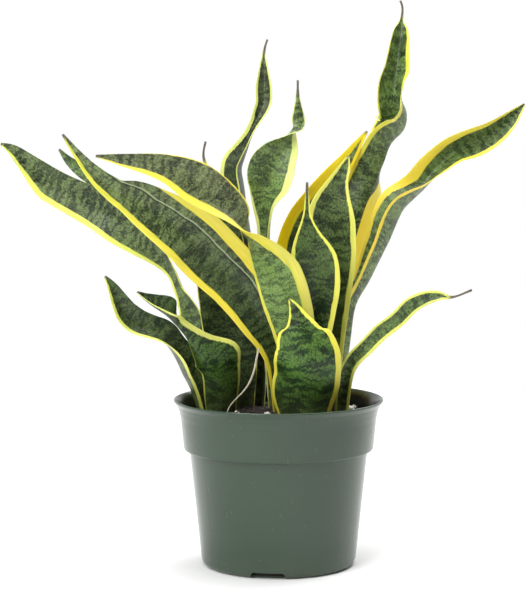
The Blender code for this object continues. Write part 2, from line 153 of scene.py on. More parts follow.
# Each station is x, y, z, half, turn, fold. x, y, z place the midrib in mm. half is the
# width from midrib to margin. turn swings the blade about its midrib: 0 shows its upper
# face to the front, 180 its back. fold is how far each half is raised from flat.
LEAVES = {
    "leaf_front_short": (
        (21, -34, 109, 20, 180, 38), (20, -36, 135, 29, 180, 30), (22, -40, 152, 29, 180, 27),
        (22, -42, 166, 28, 180, 22), (20, -42, 178, 25, 180, 20), (17, -41, 187, 20, 180, 20),
        (17, -41, 191, 15, 180, 20), (15, -40, 198, 9, 180, 22), (12, -39, 206, 5, 180, 28),
        (8, -37, 213, 1, 180, 20),
    ),
    "leaf_big_diagonal": (
        (5, 15, 109, 10, 0, 35), (2, 8, 163, 15, 0, 28), (-14, 0, 197, 21, 0, 22),
        (-30, -5, 222, 24, 0, 20), (-51, -13, 244, 26, 0, 20), (-70, -22, 263, 25, 0, 20),
        (-106, -35, 287, 17, 0, 20), (-124, -42, 296, 10, 0, 20), (-138, -48, 308, 7, 0, 20),
        (-149, -53, 321, 4, 0, 20), (-161, -59, 338, 1, 0, 20),
    ),
    "leaf_half_twist": (
        (17, -4, 109, 11, 180, 30), (15, -8, 157, 15, 183, 24), (11, -14, 186, 18, 185, 20),
        (6, -19, 206, 20, 188, 18), (-1, -26, 228, 20, 195, 18), (-9, -34, 242, 17, 210, 20),
        (-19, -41, 255, 14, 240, 22), (-28, -45, 266, 13, 280, 24), (-37, -50, 281, 15, 322, 24),
        (-61, -57, 301, 17, 350, 20), (-85, -61, 313, 11, 355, 20), (-117, -63, 319, 5, 355, 25),
        (-136, -64, 322, 1, 355, 25),
    ),
    "leaf_far_left": (
        (-52, 42, 109, 8, 50, 30), (-58, 43, 158, 10, 45, 28), (-67, 44, 190, 13, 38, 26),
        (-73, 45, 204, 10, 42, 25), (-79, 46, 214, 7, 50, 25), (-86, 45, 229, 7, 45, 24),
        (-103, 44, 248, 13, 20, 20), (-127, 48, 265, 17, 5, 18), (-146, 52, 278, 17, 5, 18),
        (-176, 55, 293, 15, 5, 18), (-187, 56, 300, 14, 5, 18), (-202, 56, 314, 9, 5, 18),
        (-214, 55, 325, 5, 5, 20), (-224, 54, 330, 1, 5, 20),
    ),
    "leaf_left_hidden": (
        (-24, 56, 109, 9, 0, 35), (-22, 66, 162, 12, 0, 28), (-38, 76, 203, 15, 0, 22),
        (-62, 84, 232, 15, 0, 20), (-91, 90, 258, 14, 0, 20), (-120, 96, 280, 12, 0, 20),
        (-144, 100, 297, 9, 0, 20), (-162, 102, 307, 7, 0, 20), (-174, 104, 315, 4, 0, 20),
        (-183, 106, 325, 1, 0, 20),
    ),
    "leaf_left_upright": (
        (-30, 34, 109, 12, 0, 35), (-34, 36, 145, 19, 0, 28), (-38, 37, 173, 23, 0, 24),
        (-43, 37, 213, 23, 0, 20), (-48, 36, 253, 21, 0, 20), (-53, 36, 286, 12, 0, 20),
        (-57, 35, 309, 3, 0, 20), (-60, 35, 321, 1, 0, 20), (-58, 34, 332, 1, 0, 20),
    ),
    "leaf_low_left": (
        (-46, 4, 109, 14, 180, 38), (-46, 0, 131, 17, 182, 36), (-46, -3, 143, 18, 185, 34),
        (-47, -6, 150, 20, 190, 34), (-51, -10, 158, 26, 202, 36), (-64, -15, 173, 15, 212, 40),
        (-78, -22, 191, 8, 242, 44), (-86, -28, 200, 14, 292, 45), (-97, -33, 208, 9, 302, 45),
        (-104, -36, 214, 4, 302, 42), (-108, -38, 218, 1, 300, 40),
    ),
    "leaf_low_far_left": (
        (-60, 18, 109, 9, 290, 44), (-69, 15, 136, 13, 290, 44), (-75, 13, 148, 15, 290, 44),
        (-80, 10, 160, 16, 290, 44), (-86, 7, 171, 14, 297, 42), (-92, 5, 179, 14, 312, 36),
        (-102, 3, 184, 13, 322, 34), (-112, 1, 189, 13, 328, 32), (-120, -2, 197, 12, 330, 30),
        (-125, -5, 207, 9, 330, 28), (-130, -8, 219, 5, 330, 26), (-135, -10, 228, 1, 330, 26),
    ),
    "leaf_upper_left": (
        (-15, 44, 109, 9, 30, 40), (-12, 50, 173, 13, 40, 38), (-16, 56, 212, 16, 50, 36),
        (-23, 60, 253, 18, 58, 36), (-27, 60, 280, 20, 62, 36), (-29, 60, 296, 20, 62, 37),
        (-31, 60, 309, 18, 62, 38), (-29, 60, 317, 16, 60, 38), (-26, 60, 326, 11, 56, 38),
        (-23, 60, 336, 6, 42, 38), (-19, 61, 346, 5, 18, 36), (-15, 62, 355, 7, 5, 36),
        (-12, 64, 364, 8, 0, 36), (-12, 65, 376, 8, 0, 36), (-12, 66, 389, 5, 0, 36),
        (-12, 67, 400, 2, 0, 30), (-11, 68, 408, 1, 0, 30), (-9, 69, 414, 1, 0, 30),
    ),
    "leaf_upper_middle": (
        (2, 28, 109, 9, 50, 35), (-3, 25, 174, 11, 58, 30), (-6, 23, 214, 11, 62, 28),
        (-8, 22, 250, 11, 66, 28), (-8, 21, 268, 12, 60, 26), (-8, 21, 284, 14, 40, 24),
        (-6, 20, 297, 18, 15, 22), (-5, 19, 312, 20, 0, 22), (3, 18, 327, 14, -10, 24),
        (9, 17, 338, 7, -60, 26), (13, 17, 344, 7, -130, 26), (15, 17, 350, 6, -165, 24),
        (15, 16, 361, 3, -175, 24), (15, 16, 372, 1, -180, 20), (15, 16, 380, 1, -180, 20),
    ),
    "leaf_tallest": (
        (35, 51, 109, 9, 160, 40), (40, 56, 170, 13, 160, 36), (49, 62, 211, 16, 166, 28),
        (60, 70, 251, 19, 168, 26), (69, 74, 280, 21, 162, 28), (77, 76, 297, 21, 152, 34),
        (85, 78, 314, 22, 118, 45), (91, 79, 330, 24, 92, 48), (102, 79, 342, 26, 72, 50),
        (104, 80, 355, 24, 55, 50), (98, 82, 366, 19, 32, 50), (95, 84, 378, 17, 12, 50),
        (96, 86, 389, 16, 0, 50), (98, 88, 406, 13, 0, 50), (100, 90, 420, 9, 0, 45),
        (101, 93, 430, 2, 0, 30), (102, 95, 441, 1, 0, 30), (100, 95, 447, 1, 0, 30),
    ),
    "leaf_right_behind": (
        (20, 45, 109, 10, 0, 35), (16, 50, 171, 12, -10, 10), (11, 56, 211, 14, -10, 10),
        (11, 60, 244, 14, -10, 10), (19, 63, 268, 13, -10, 10), (32, 65, 286, 12, -10, 10),
        (44, 67, 302, 10, -10, 10), (55, 68, 316, 7, -10, 10), (64, 69, 329, 4, -10, 10),
        (72, 70, 340, 1, 0, 20),
    ),
    "leaf_right_broad": (
        (38, 24, 109, 10, 0, 35), (39, 24, 166, 14, 0, 28), (40, 24, 206, 18, 0, 22),
        (41, 23, 238, 21, 0, 20), (41, 22, 262, 21, 0, 20), (42, 21, 281, 18, 0, 20),
        (47, 20, 300, 9, 0, 20), (52, 19, 312, 5, 0, 20), (55, 18, 321, 1, 0, 20),
    ),
    "leaf_front_pointed": (
        (28, 10, 109, 9, 0, 35), (27, 4, 168, 14, 0, 28), (28, 0, 200, 18, 0, 22),
        (28, -3, 220, 21, 0, 20), (28, -5, 237, 20, 0, 20), (25, -7, 249, 17, 0, 20),
        (23, -8, 260, 11, 0, 20), (22, -10, 274, 4, 0, 20), (22, -12, 287, 2, 0, 20),
        (22, -14, 301, 1, 0, 20),
    ),
    "leaf_right_long": (
        (47, 35, 109, 8, 95, 40), (56, 37, 169, 10, 92, 40), (61, 40, 200, 13, 88, 40),
        (72, 43, 220, 16, 84, 42), (83, 45, 242, 19, 80, 44), (89, 46, 254, 21, 80, 45),
        (94, 47, 266, 23, 78, 45), (100, 48, 278, 23, 74, 46), (109, 49, 287, 19, 66, 47),
        (117, 50, 295, 17, 50, 48), (126, 52, 308, 17, 26, 48), (140, 56, 322, 17, 10, 48),
        (155, 60, 330, 17, 0, 46), (171, 64, 337, 14, 0, 44), (186, 68, 348, 9, 0, 40),
        (200, 72, 362, 1, 0, 30),
    ),
    "leaf_low_right": (
        (49, 1, 109, 6, 0, 35), (52, -4, 147, 7, 0, 32), (58, -7, 162, 7, 0, 30),
        (68, -11, 173, 7, 0, 25), (79, -15, 185, 7, 0, 22), (91, -20, 195, 7, 0, 22),
        (102, -25, 207, 7, 0, 22), (113, -29, 213, 6, 0, 22), (123, -33, 215, 4, 0, 22),
        (133, -36, 214, 1, 0, 22), (147, -41, 220, 1, 0, 22),
    ),
}

# How each leaf is coloured, as (share of length, plus, minus) for the width in mm of
# the yellow margin on each side. The plus side is the left one where turn is 0.
# The narrow or missing margins of leaf_left_hidden, and low on leaf_left_upright and
# leaf_upper_left, where these lie in the dark middle of the clump, are painted shade; elsewhere
# the widths are the real margins.
MARGINS = {
    "leaf_front_short": ((0.0, 4.0, 2.5), (0.5, 5.0, 2.6), (0.8, 3.6, 2.6), (1.0, 1.2, 1.0)),
    "leaf_big_diagonal": (
        (0.0, 1.5, 1.5), (0.2, 4.0, 3.0), (0.33, 5.0, 9.0), (0.42, 5.4, 11.0), (0.58, 5.6, 10.0),
        (0.66, 5.4, 5.0), (0.73, 5.0, -0.5), (0.95, 2.0, -0.5), (1.0, 1.0, -0.5),
    ),
    "leaf_half_twist": (
        (0.0, 5.0, 2.6), (0.3, 7.5, 3.0), (0.5, 8.0, 1.6), (0.7, 6.5, 0.8), (0.85, 4.0, 0.2),
        (0.93, 1.5, -0.3), (1.0, 0.3, -0.3),
    ),
    "leaf_far_left": (
        (0.0, 0.8, 0.8), (0.3, 1.6, 1.0), (0.42, 2.6, 0.8), (0.52, 3.0, 0.4), (0.6, 4.2, -0.6),
        (0.85, 4.6, -0.6), (1.0, 0.8, -0.6),
    ),
    "leaf_left_hidden": ((0.0, -0.5, -0.5), (1.0, -0.5, -0.5)),
    "leaf_left_upright": ((0.0, 0.4, 0.4), (0.7, 0.5, 0.5), (0.85, 2.0, 2.0), (1.0, 0.3, 0.3)),
    "leaf_low_left": (
        (0.0, 0.8, 1.2), (0.25, 1.6, 1.6), (0.36, 3.0, 1.6), (0.6, 3.4, 1.4), (0.7, 3.0, 0.6),
        (0.76, 2.6, -0.5), (0.85, 2.0, -0.5), (1.0, 0.6, -0.5),
    ),
    "leaf_low_far_left": ((0.0, 2.6, 1.0), (0.4, 3.0, -0.4), (0.8, 3.4, -0.5), (1.0, 1.0, -0.5)),
    "leaf_upper_left": (
        (0.0, 0.6, 0.6), (0.45, 2.0, 1.4), (0.6, 3.6, 1.6), (0.75, 3.0, 1.0), (0.85, 2.2, 2.2),
        (1.0, 0.3, 0.3),
    ),
    "leaf_upper_middle": (
        (0.0, 0.8, 2.0), (0.4, 3.6, 4.0), (0.58, 3.6, 5.0), (0.66, 1.0, 6.0), (0.72, 0.2, 6.8),
        (0.84, 0.2, 5.0), (0.9, 0.3, 0.8), (1.0, 0.3, 0.3),
    ),
    "leaf_tallest": (
        (0.0, 2.0, 1.5), (0.26, 10.0, 2.0), (0.38, 20.0, 2.2), (0.5, 20.0, 2.0),
        (0.545, 13.0, 2.0), (0.6, 5.0, 2.4), (0.66, 1.8, 3.0), (0.72, 1.2, 4.4), (0.88, 1.2, 4.0),
        (0.95, 0.4, 0.6), (1.0, 0.4, 0.4),
    ),
    "leaf_right_behind": (
        (0.0, 1.5, 1.0), (0.3, 6.0, 2.0), (0.5, 9.0, 3.0), (0.8, 8.0, 3.0), (1.0, 4.0, 2.0),
    ),
    "leaf_right_broad": ((0.0, 2.0, 3.0), (0.4, 4.6, 4.2), (0.75, 5.0, 4.2), (1.0, 1.5, 1.2)),
    "leaf_front_pointed": (
        (0.0, 3.0, 2.5), (0.35, 5.4, 4.2), (0.6, 5.4, 4.4), (0.8, 2.0, 2.0), (1.0, 0.2, 0.2),
    ),
    "leaf_right_long": (
        (0.0, 1.5, 1.5), (0.3, 2.4, 2.4), (0.52, 3.0, 2.4), (0.6, 6.0, 2.4), (0.66, 9.0, 2.6),
        (0.76, 7.0, 3.0), (0.86, 4.0, 3.4), (1.0, 0.5, 0.6),
    ),
    "leaf_low_right": ((0.0, 1.6, 2.2), (0.5, 1.8, 2.6), (0.85, 2.0, 1.6), (1.0, 0.4, 0.4)),
}

# (share of length, light, gold, green): light runs from a dark to a pale blade, gold from
# a lemon to a golden margin, and green from a grey to a leaf green, each from 0 to 1.
TINTS = {
    "leaf_front_short": (
        (0.0, 0.02, 0.55, 0.7), (0.4, 0.22, 0.5, 1.0), (0.75, 0.25, 0.3, 0.8),
        (1.0, 0.0, 0.1, 0.3),
    ),
    "leaf_big_diagonal": (
        (0.0, 0.0, 0.7, 0.5), (0.42, 0.1, 0.7, 0.4), (0.62, 0.4, 0.55, 0.3), (0.8, 0.5, 0.3, 0.3),
        (1.0, 0.45, 0.2, 0.2),
    ),
    "leaf_half_twist": (
        (0.0, 0.7, 0.35, 0.7), (0.45, 1.0, 0.4, 0.6), (0.6, 0.45, 0.7, 0.1),
        (1.0, 0.35, 0.6, 0.1),
    ),
    "leaf_far_left": ((0.0, 0.4, 0.2, 0.6), (0.6, 0.3, 0.15, 0.35), (1.0, 0.35, 0.1, 0.3)),
    "leaf_left_hidden": ((0.0, 0.3, 0.3, 0.5), (1.0, 0.35, 0.1, 0.6)),
    "leaf_left_upright": ((0.0, 0.0, 0.4, 0.4), (1.0, 0.1, 0.4, 0.4)),
    "leaf_low_left": ((0.0, 0.0, 0.3, 0.8), (0.5, 0.15, 0.3, 0.9), (1.0, 0.1, 0.1, 0.5)),
    "leaf_low_far_left": ((0.0, 0.35, 0.2, 0.6), (0.45, 0.1, 0.2, 0.4), (1.0, 0.1, 0.1, 0.5)),
    "leaf_upper_left": ((0.0, 0.05, 0.3, 0.4), (0.7, 0.02, 0.15, 0.3), (1.0, 0.1, 0.05, 0.1)),
    "leaf_upper_middle": (
        (0.0, 0.3, 0.6, 0.5), (0.6, 0.5, 0.35, 0.6), (0.8, 0.6, 0.1, 0.5), (1.0, 0.4, 0.0, 0.3),
    ),
    "leaf_tallest": (
        (0.0, 0.2, 0.8, 0.4), (0.45, 0.3, 0.95, 0.4), (0.7, 0.5, 0.3, 0.5), (1.0, 0.35, 0.2, 0.6),
    ),
    "leaf_right_behind": ((0.0, 0.3, 1.0, 0.4), (0.6, 0.3, 1.0, 0.4), (1.0, 0.4, 0.8, 0.3)),
    "leaf_right_broad": ((0.0, 0.05, 0.35, 0.6), (0.6, 0.2, 0.3, 0.5), (1.0, 0.3, 0.3, 0.4)),
    "leaf_front_pointed": ((0.0, 0.0, 0.4, 0.6), (0.5, 0.1, 0.4, 0.6), (1.0, 0.15, 0.2, 0.6)),
    "leaf_right_long": (
        (0.0, 0.6, 0.4, 0.4), (0.5, 0.55, 1.0, 0.5), (0.72, 0.35, 0.9, 0.5), (1.0, 0.3, 0.4, 0.5),
    ),
    "leaf_low_right": ((0.0, 0.5, 0.3, 0.6), (0.6, 0.25, 0.2, 0.6), (1.0, 0.2, 0.1, 0.5)),
}

# How clearly the cross bands show and how pale the margins are, from 0 to 1, and how
# far in mm from the midrib the painted highlight and shade of a pressed crease run.
NO_CREASE = 99.0
Style = namedtuple("Style", "banding pale crease", defaults=(NO_CREASE,))
STYLES = {
    "leaf_front_short": Style(1.0, 0.1),
    "leaf_big_diagonal": Style(0.6, 0.1, -9.0),
    "leaf_half_twist": Style(0.45, 0.15),
    "leaf_far_left": Style(0.7, 0.25),
    "leaf_left_hidden": Style(0.5, 0.3),
    "leaf_left_upright": Style(0.6, 0.3),
    "leaf_low_left": Style(1.0, 0.4),
    "leaf_low_far_left": Style(0.4, 0.3),
    "leaf_upper_left": Style(0.3, 0.5),
    "leaf_upper_middle": Style(0.45, 0.6),
    "leaf_tallest": Style(0.5, 0.1),
    "leaf_right_behind": Style(0.3, 0.0),
    "leaf_right_broad": Style(0.55, 0.3),
    "leaf_front_pointed": Style(0.7, 0.2),
    "leaf_right_long": Style(0.5, 0.15),
    "leaf_low_right": Style(0.4, 0.3),
}

FIBRE_PATH = (
    (-15, -14, 172), (-17, -15, 165), (-19, -16, 155), (-23, -17, 145),
    (-28, -17, 138), (-33, -17, 133), (-38, -17, 127), (-41, -16, 120),
)
PERLITE = (
    (50, 20, 2.6), (57, 14, 3.2), (60, 26, 2.2), (-16, 62, 2.4), (-9, -14, 2.0), (3, -16, 1.8),
)



# ---- shader helpers


class Nodes:
    """A short way to write the node tree of a material or a world."""

    def __init__(self, owner):
        owner.use_nodes = True
        self.owner = owner
        self.tree = owner.node_tree

    def add(self, kind, **settings):
        node = self.tree.nodes.new(kind)
        for key, value in settings.items():
            setattr(node, key, value)
        return node

    def put(self, socket, value):
        if isinstance(value, bpy.types.NodeSocket):
            self.tree.links.new(value, socket)
        else:
            socket.default_value = value

    def feed(self, node, values):
        """The node's first output, with values put into inputs by title or number."""
        for key, value in values.items():
            self.put(node.inputs[key], value)
        return node.outputs[0]

    def maths(self, operation, *values, clamp=False):
        node = self.add("ShaderNodeMath", operation=operation, use_clamp=clamp)
        return self.feed(node, dict(enumerate(values)))

    def attribute(self, name):
        return self.add("ShaderNodeAttribute", attribute_name=name).outputs["Vector"]

    def split(self, vector):
        node = self.add("ShaderNodeSeparateXYZ")
        self.put(node.inputs[0], vector)
        return node.outputs

    def join(self, *values):
        return self.feed(self.add("ShaderNodeCombineXYZ"), dict(enumerate(values)))

    def object_place(self):
        return self.add("ShaderNodeTexCoord").outputs["Object"]

    def noise(self, vector, scale, detail=2.0, roughness=0.5, distortion=0.0):
        values = {"Vector": vector, "Scale": scale, "Detail": detail,
                  "Roughness": roughness, "Distortion": distortion}
        return self.feed(self.add("ShaderNodeTexNoise"), values)

    def streaks(self, vector, scales, detail=2.0, roughness=0.5, distortion=0.0):
        """Noise with its own scale along each axis."""
        place = self.feed(self.add("ShaderNodeMapping"), {"Vector": vector, "Scale": scales})
        return self.noise(place, 1.0, detail, roughness, distortion)

    def spread(self, value, low, high, start=0.0, end=1.0):
        """A smooth step of the value between low and high."""
        node = self.add("ShaderNodeMapRange", interpolation_type="SMOOTHSTEP")
        return self.feed(node, {"Value": value, "From Min": low, "From Max": high,
                                "To Min": start, "To Max": end})

    def blend(self, share, first, second):
        """A number between the first and the second."""
        return self.maths("MULTIPLY_ADD", share, self.maths("SUBTRACT", second, first), first)

    def mix(self, share, first, second):
        """A colour between the first and the second."""
        node = self.add("ShaderNodeMix", data_type="RGBA")
        for socket, value in ((0, share), (6, first), (7, second)):
            self.put(node.inputs[socket], value)
        return node.outputs[2]

    def bump(self, height, distance, strength=1.0, normal=None):
        values = {"Height": height, "Distance": distance, "Strength": strength}
        if normal is not None:
            values["Normal"] = normal
        return self.feed(self.add("ShaderNodeBump"), values)

    def finish(self, colour, roughness, normal=None, **constants):
        """Wire the material's shader, and return the material."""
        shader = self.tree.nodes["Principled BSDF"]
        if normal is not None:
            constants["Normal"] = normal
        self.feed(shader, {"Base Color": colour, "Roughness": roughness, **constants})
        return self.owner


def nodes_for(name):
    """The node tree of a new material."""
    return Nodes(bpy.data.materials.new(name))


def srgb(red, green, blue):
    """A linear colour from 0 to 255 screen values."""
    out = []
    for value in (red, green, blue):
        share = value / 255
        out.append(share / 12.92 if share <= 0.04045 else ((share + 0.055) / 1.055) ** 2.4)
    return (*out, 1.0)


# ---- materials


def cross_bands(n, place, banding):
    """Zigzag bands across the blade, or a loose blotchy version where banding is low."""
    across, along, seed = n.split(place)
    teeth = n.streaks(place, (0.42, 0.10, 1.0), 2.0, 0.6)
    teeth = n.maths("MULTIPLY_ADD", teeth, 7.0, -3.5)
    sway = n.streaks(place, (0.05, 0.05, 1.0), 1.0)
    sway = n.maths("MULTIPLY_ADD", sway, 14.0, -7.0)
    shifted = n.maths("ADD", n.maths("ADD", along, teeth), sway)
    band_place = n.join(n.maths("MULTIPLY", across, 0.06), shifted, seed)
    sharp = n.spread(n.streaks(band_place, (1.0, 0.30, 1.0), 1.0), 0.42, 0.54)
    blotch = n.streaks(place, (0.34, 0.30, 1.0), 4.0, 0.68, 0.6)
    blotch = n.spread(blotch, 0.42, 0.60)
    loose = n.maths("MULTIPLY_ADD", sharp, 0.45, n.maths("MULTIPLY", blotch, 0.65))
    return n.maths("ADD", n.maths("MULTIPLY", sharp, banding),
                   n.maths("MULTIPLY", loose, n.maths("SUBTRACT", 1.0, banding)), clamp=True)


def blade_colour(n, place, mottle, light, green, banding):
    """The blade inside its margins: dark, with paler bands, flecks and patches."""
    band = cross_bands(n, place, banding)
    fleck = n.spread(n.streaks(place, (1.1, 0.55, 1.0), 2.0, 0.6), 0.46, 0.60)
    patch = n.streaks(place, (0.06, 0.035, 1.0), 1.0)
    dark = n.mix(green, srgb(21, 27, 17), srgb(12, 38, 11))
    pale = n.mix(green, srgb(142, 152, 104), srgb(108, 154, 58))
    share = n.maths("MULTIPLY", band, n.spread(mottle, 0.36, 0.60, 0.25, 1.0))
    share = n.maths("MULTIPLY", share, n.maths("MULTIPLY_ADD", light, 0.9, 0.28))
    share = n.maths("MULTIPLY_ADD", fleck, n.maths("MULTIPLY_ADD", light, 0.22, 0.08), share)
    share = n.maths("MULTIPLY_ADD", n.spread(patch, 0.4, 0.65), 0.10, share)
    share = n.maths("ADD", share, n.maths("MULTIPLY_ADD", light, 0.22, -0.08), clamp=True)
    return n.mix(share, dark, pale)


def painted_crease(n, place, colour, crease):
    """The same colour with a pressed crease painted on: a painted highlight line with a painted
    shade line beside it.
    """
    waver = n.streaks(place, (0.05, 0.04, 1.0), 2.0)
    across = n.split(place)[0]
    offset = n.maths("SUBTRACT", n.maths("SUBTRACT", across, crease),
                     n.maths("MULTIPLY_ADD", waver, 5.0, -2.5))
    # Painted highlight along the crease, and painted shade beside it.
    lit = n.spread(n.maths("ABSOLUTE", offset), 0.25, 0.85, 0.55, 0.0)
    shade = n.spread(n.maths("ABSOLUTE", n.maths("SUBTRACT", offset, 1.3)), 0.3, 1.0, 0.7, 0.0)
    return n.mix(lit, n.mix(shade, colour, srgb(16, 24, 14)), srgb(190, 202, 158))


def margin_colour(n, place, inset, gold, pale):
    """Lemon to golden yellow, with thin green streaks and a paler inner side."""
    lemon = n.mix(n.streaks(place, (0.35, 0.03, 1.0)), srgb(190, 206, 34), srgb(240, 240, 104))
    golden = n.mix(n.streaks(place, (0.5, 0.02, 1.0)), srgb(244, 198, 0), srgb(252, 228, 18))
    yellow = n.mix(pale, n.mix(gold, lemon, golden), srgb(206, 220, 150))
    streak = n.streaks(place, (2.2, 0.035, 1.0), 2.0, 0.6)
    streak = n.maths("MULTIPLY", n.spread(streak, 0.54, 0.68),
                     n.maths("MULTIPLY_ADD", gold, -0.40, 0.5))
    yellow = n.mix(streak, yellow, srgb(150, 172, 60))
    inner = n.spread(n.maths("MULTIPLY", inset, -1.0), 2.2, 4.5, 0.0, 0.22)
    inner = n.maths("MULTIPLY", inner, n.maths("SUBTRACT", 1.0, gold), clamp=True)
    return n.mix(inner, yellow, srgb(246, 240, 160))


def leaf_material():
    """Dark green blade with ragged grey-green cross bands, and lemon to gold margins."""
    n = nodes_for("leaf_skin")
    place = n.attribute("leaf_place")
    inset, light, green = n.split(n.attribute("leaf_tint"))
    gold, dry, deep = n.split(n.attribute("leaf_ends"))
    banding, pale, crease = n.split(n.attribute("leaf_style"))
    mottle = n.streaks(place, (0.62, 0.50, 1.0), 3.0, 0.65)
    blade = blade_colour(n, place, mottle, light, green, banding)
    blade = painted_crease(n, place, blade, crease)

    # The boundary between blade and margin is slightly ragged.
    ragged = n.streaks(place, (0.9, 0.05, 1.0), 3.0, 0.6)
    ragged = n.maths("MULTIPLY_ADD", ragged, 2.4, -1.2)
    inside = n.spread(n.maths("ADD", inset, ragged), -0.35, 0.55)
    colour = n.mix(inside, margin_colour(n, place, inset, gold, pale), blade)

    # Shaded green base near the soil, and the dry grey-brown thread at the tip.
    base_tint = n.mix(mottle, srgb(26, 30, 16), srgb(58, 58, 34))
    colour = n.mix(n.maths("MULTIPLY", deep, 0.72), colour, base_tint)
    withered = n.mix(mottle, srgb(62, 58, 44), srgb(122, 112, 96))
    colour = n.mix(dry, colour, withered)

    grain = n.streaks(place, (3.4, 0.10, 1.0), 3.0, 0.6)
    pores = n.streaks(place, (4.0, 3.0, 1.0))
    normal = n.bump(grain, 0.00028, 0.55)
    normal = n.bump(pores, 0.00006, 0.35, normal)
    rough = n.maths("MULTIPLY_ADD", mottle, 0.16, 0.30)
    rough = n.maths("MULTIPLY_ADD", dry, 0.30, rough, clamp=True)
    return n.finish(colour, rough, normal, **{"Specular IOR Level": 0.32,
                                              "Coat Weight": 0.06, "Coat Roughness": 0.25})


def pot_material():
    """Moulded dark green plastic: satin, with faint flow lines, scuffs and dust, and painted
    shade over its inside.
    """
    n = nodes_for("pot_plastic")
    place = n.object_place()
    height = n.maths("DIVIDE", n.split(place)[2], POT_HEIGHT * MM, clamp=True)
    inner = n.split(n.attribute("pot_inside_shade"))[0]
    cloud = n.noise(place, 24.0, 3.0, 0.55)
    flow = n.streaks(place, (60.0, 60.0, 900.0))
    scuff = n.streaks(place, (180.0, 180.0, 90.0), 4.0, 0.7)
    scuff = n.spread(scuff, 0.60, 0.74)
    base = n.mix(cloud, srgb(42, 59, 44), srgb(48, 66, 50))
    base = n.mix(n.maths("MULTIPLY", flow, 0.16), base, srgb(58, 76, 60))
    base = n.mix(n.maths("MULTIPLY", scuff, 0.05), base, srgb(110, 122, 108))
    dust = n.maths("MULTIPLY", n.spread(height, 0.0, 0.16, 1.0, 0.0), cloud)
    base = n.mix(n.maths("MULTIPLY", dust, 0.22), base, srgb(112, 118, 102))
    # Painted shade: the marked inside wall and floor of the pot are darkened to near black.
    painted_inside_shade = n.mix(n.noise(place, 160.0, 3.0, 0.6), srgb(16, 19, 15), srgb(34, 36, 28))
    base = n.mix(inner, base, painted_inside_shade)
    normal = n.bump(n.noise(place, 2600.0), 0.00004, 0.35)
    normal = n.bump(flow, 0.00005, 0.4, normal)
    rough = n.maths("MULTIPLY_ADD", scuff, 0.14, n.maths("MULTIPLY_ADD", cloud, 0.08, 0.15))
    return n.finish(base, rough, normal, **{"IOR": 1.49})


def soil_material():
    """Moist peat: near black with brown and reddish crumbs."""
    n = nodes_for("potting_mix")
    place = n.object_place()
    clod = n.noise(place, 190.0, 4.0, 0.65)
    grain = n.noise(place, 900.0, 3.0, 0.7)
    colour = n.mix(n.spread(clod, 0.38, 0.66), srgb(12, 10, 8), srgb(36, 27, 20))
    colour = n.mix(n.maths("MULTIPLY", n.spread(grain, 0.55, 0.72), 0.5), colour,
                   srgb(70, 55, 41))
    normal = n.bump(n.maths("ADD", clod, grain), 0.0012, 0.9)
    return n.finish(colour, n.spread(clod, 0.3, 0.7, 0.7, 0.98), normal)


def bark_material():
    """Crumbs and shreds of bark and peat, each a little different."""
    n = nodes_for("bark_crumbs")
    place = n.object_place()
    piece = n.noise(place, 130.0, 1.0)
    grain = n.streaks(place, (1200.0, 1200.0, 500.0), 3.0, 0.65)
    colour = n.mix(n.spread(piece, 0.36, 0.64), srgb(17, 13, 11), srgb(58, 42, 31))
    colour = n.mix(n.maths("MULTIPLY", grain, 0.5), colour, srgb(32, 25, 20))
    normal = n.bump(grain, 0.0004, 0.8)
    return n.finish(colour, n.spread(grain, 0.3, 0.7, 0.68, 0.95), normal)


def perlite_material():
    """Expanded white rock: chalky, pitted, with soil in the pits."""
    n = nodes_for("perlite")
    place = n.object_place()
    pits = n.noise(place, 1500.0, 3.0, 0.65)
    stain = n.noise(place, 420.0, 3.0, 0.6)
    colour = n.mix(n.spread(pits, 0.34, 0.56), srgb(150, 138, 122), srgb(232, 228, 218))
    colour = n.mix(n.maths("MULTIPLY", n.spread(stain, 0.52, 0.74), 0.6), colour,
                   srgb(120, 100, 78))
    normal = n.bump(pits, 0.0005, 0.8)
    return n.finish(colour, n.spread(pits, 0.3, 0.7, 0.75, 0.95), normal)


def fibre_material():
    """Dry pale plant fibre, streaked along its length."""
    n = nodes_for("dry_fibre")
    streak = n.streaks(n.object_place(), (2400.0, 2400.0, 160.0), 3.0, 0.6)
    colour = n.mix(n.spread(streak, 0.34, 0.66), srgb(150, 138, 112), srgb(214, 208, 186))
    normal = n.bump(streak, 0.0002, 0.6)
    return n.finish(colour, n.spread(streak, 0.3, 0.7, 0.55, 0.75), normal)


def floor_material():
    """Plain white paper, with a very faint tooth."""
    n = nodes_for("white_sweep")
    tooth = n.noise(n.object_place(), 700.0)
    colour = n.mix(tooth, (0.80, 0.80, 0.795, 1.0), (0.83, 0.83, 0.825, 1.0))
    return n.finish(colour, n.spread(tooth, 0.3, 0.7, 0.80, 0.85))


# ---- mesh helpers


def place_object(name, data):
    """A new object in the scene."""
    item = bpy.data.objects.new(name, data)
    bpy.context.scene.collection.objects.link(item)
    return item


def add_piece(mesh, material, node=None):
    """Link a mesh as a piece of the object, in place of a CAD node where one is named."""
    for polygon in mesh.polygons:
        polygon.use_smooth = True
    mesh.materials.append(material)
    piece = place_object(mesh.name, mesh)
    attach(piece, BODY)
    if node:
        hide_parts(node)


def mesh_of(name, points, faces):
    """A mesh from lists, with its faces turned outwards."""
    mesh = bpy.data.meshes.new(name)
    mesh.from_pydata([tuple(point) for point in points], [], faces)
    builder = bmesh.new()
    builder.from_mesh(mesh)
    bmesh.ops.recalc_face_normals(builder, faces=builder.faces)
    builder.to_mesh(mesh)
    builder.free()
    return mesh


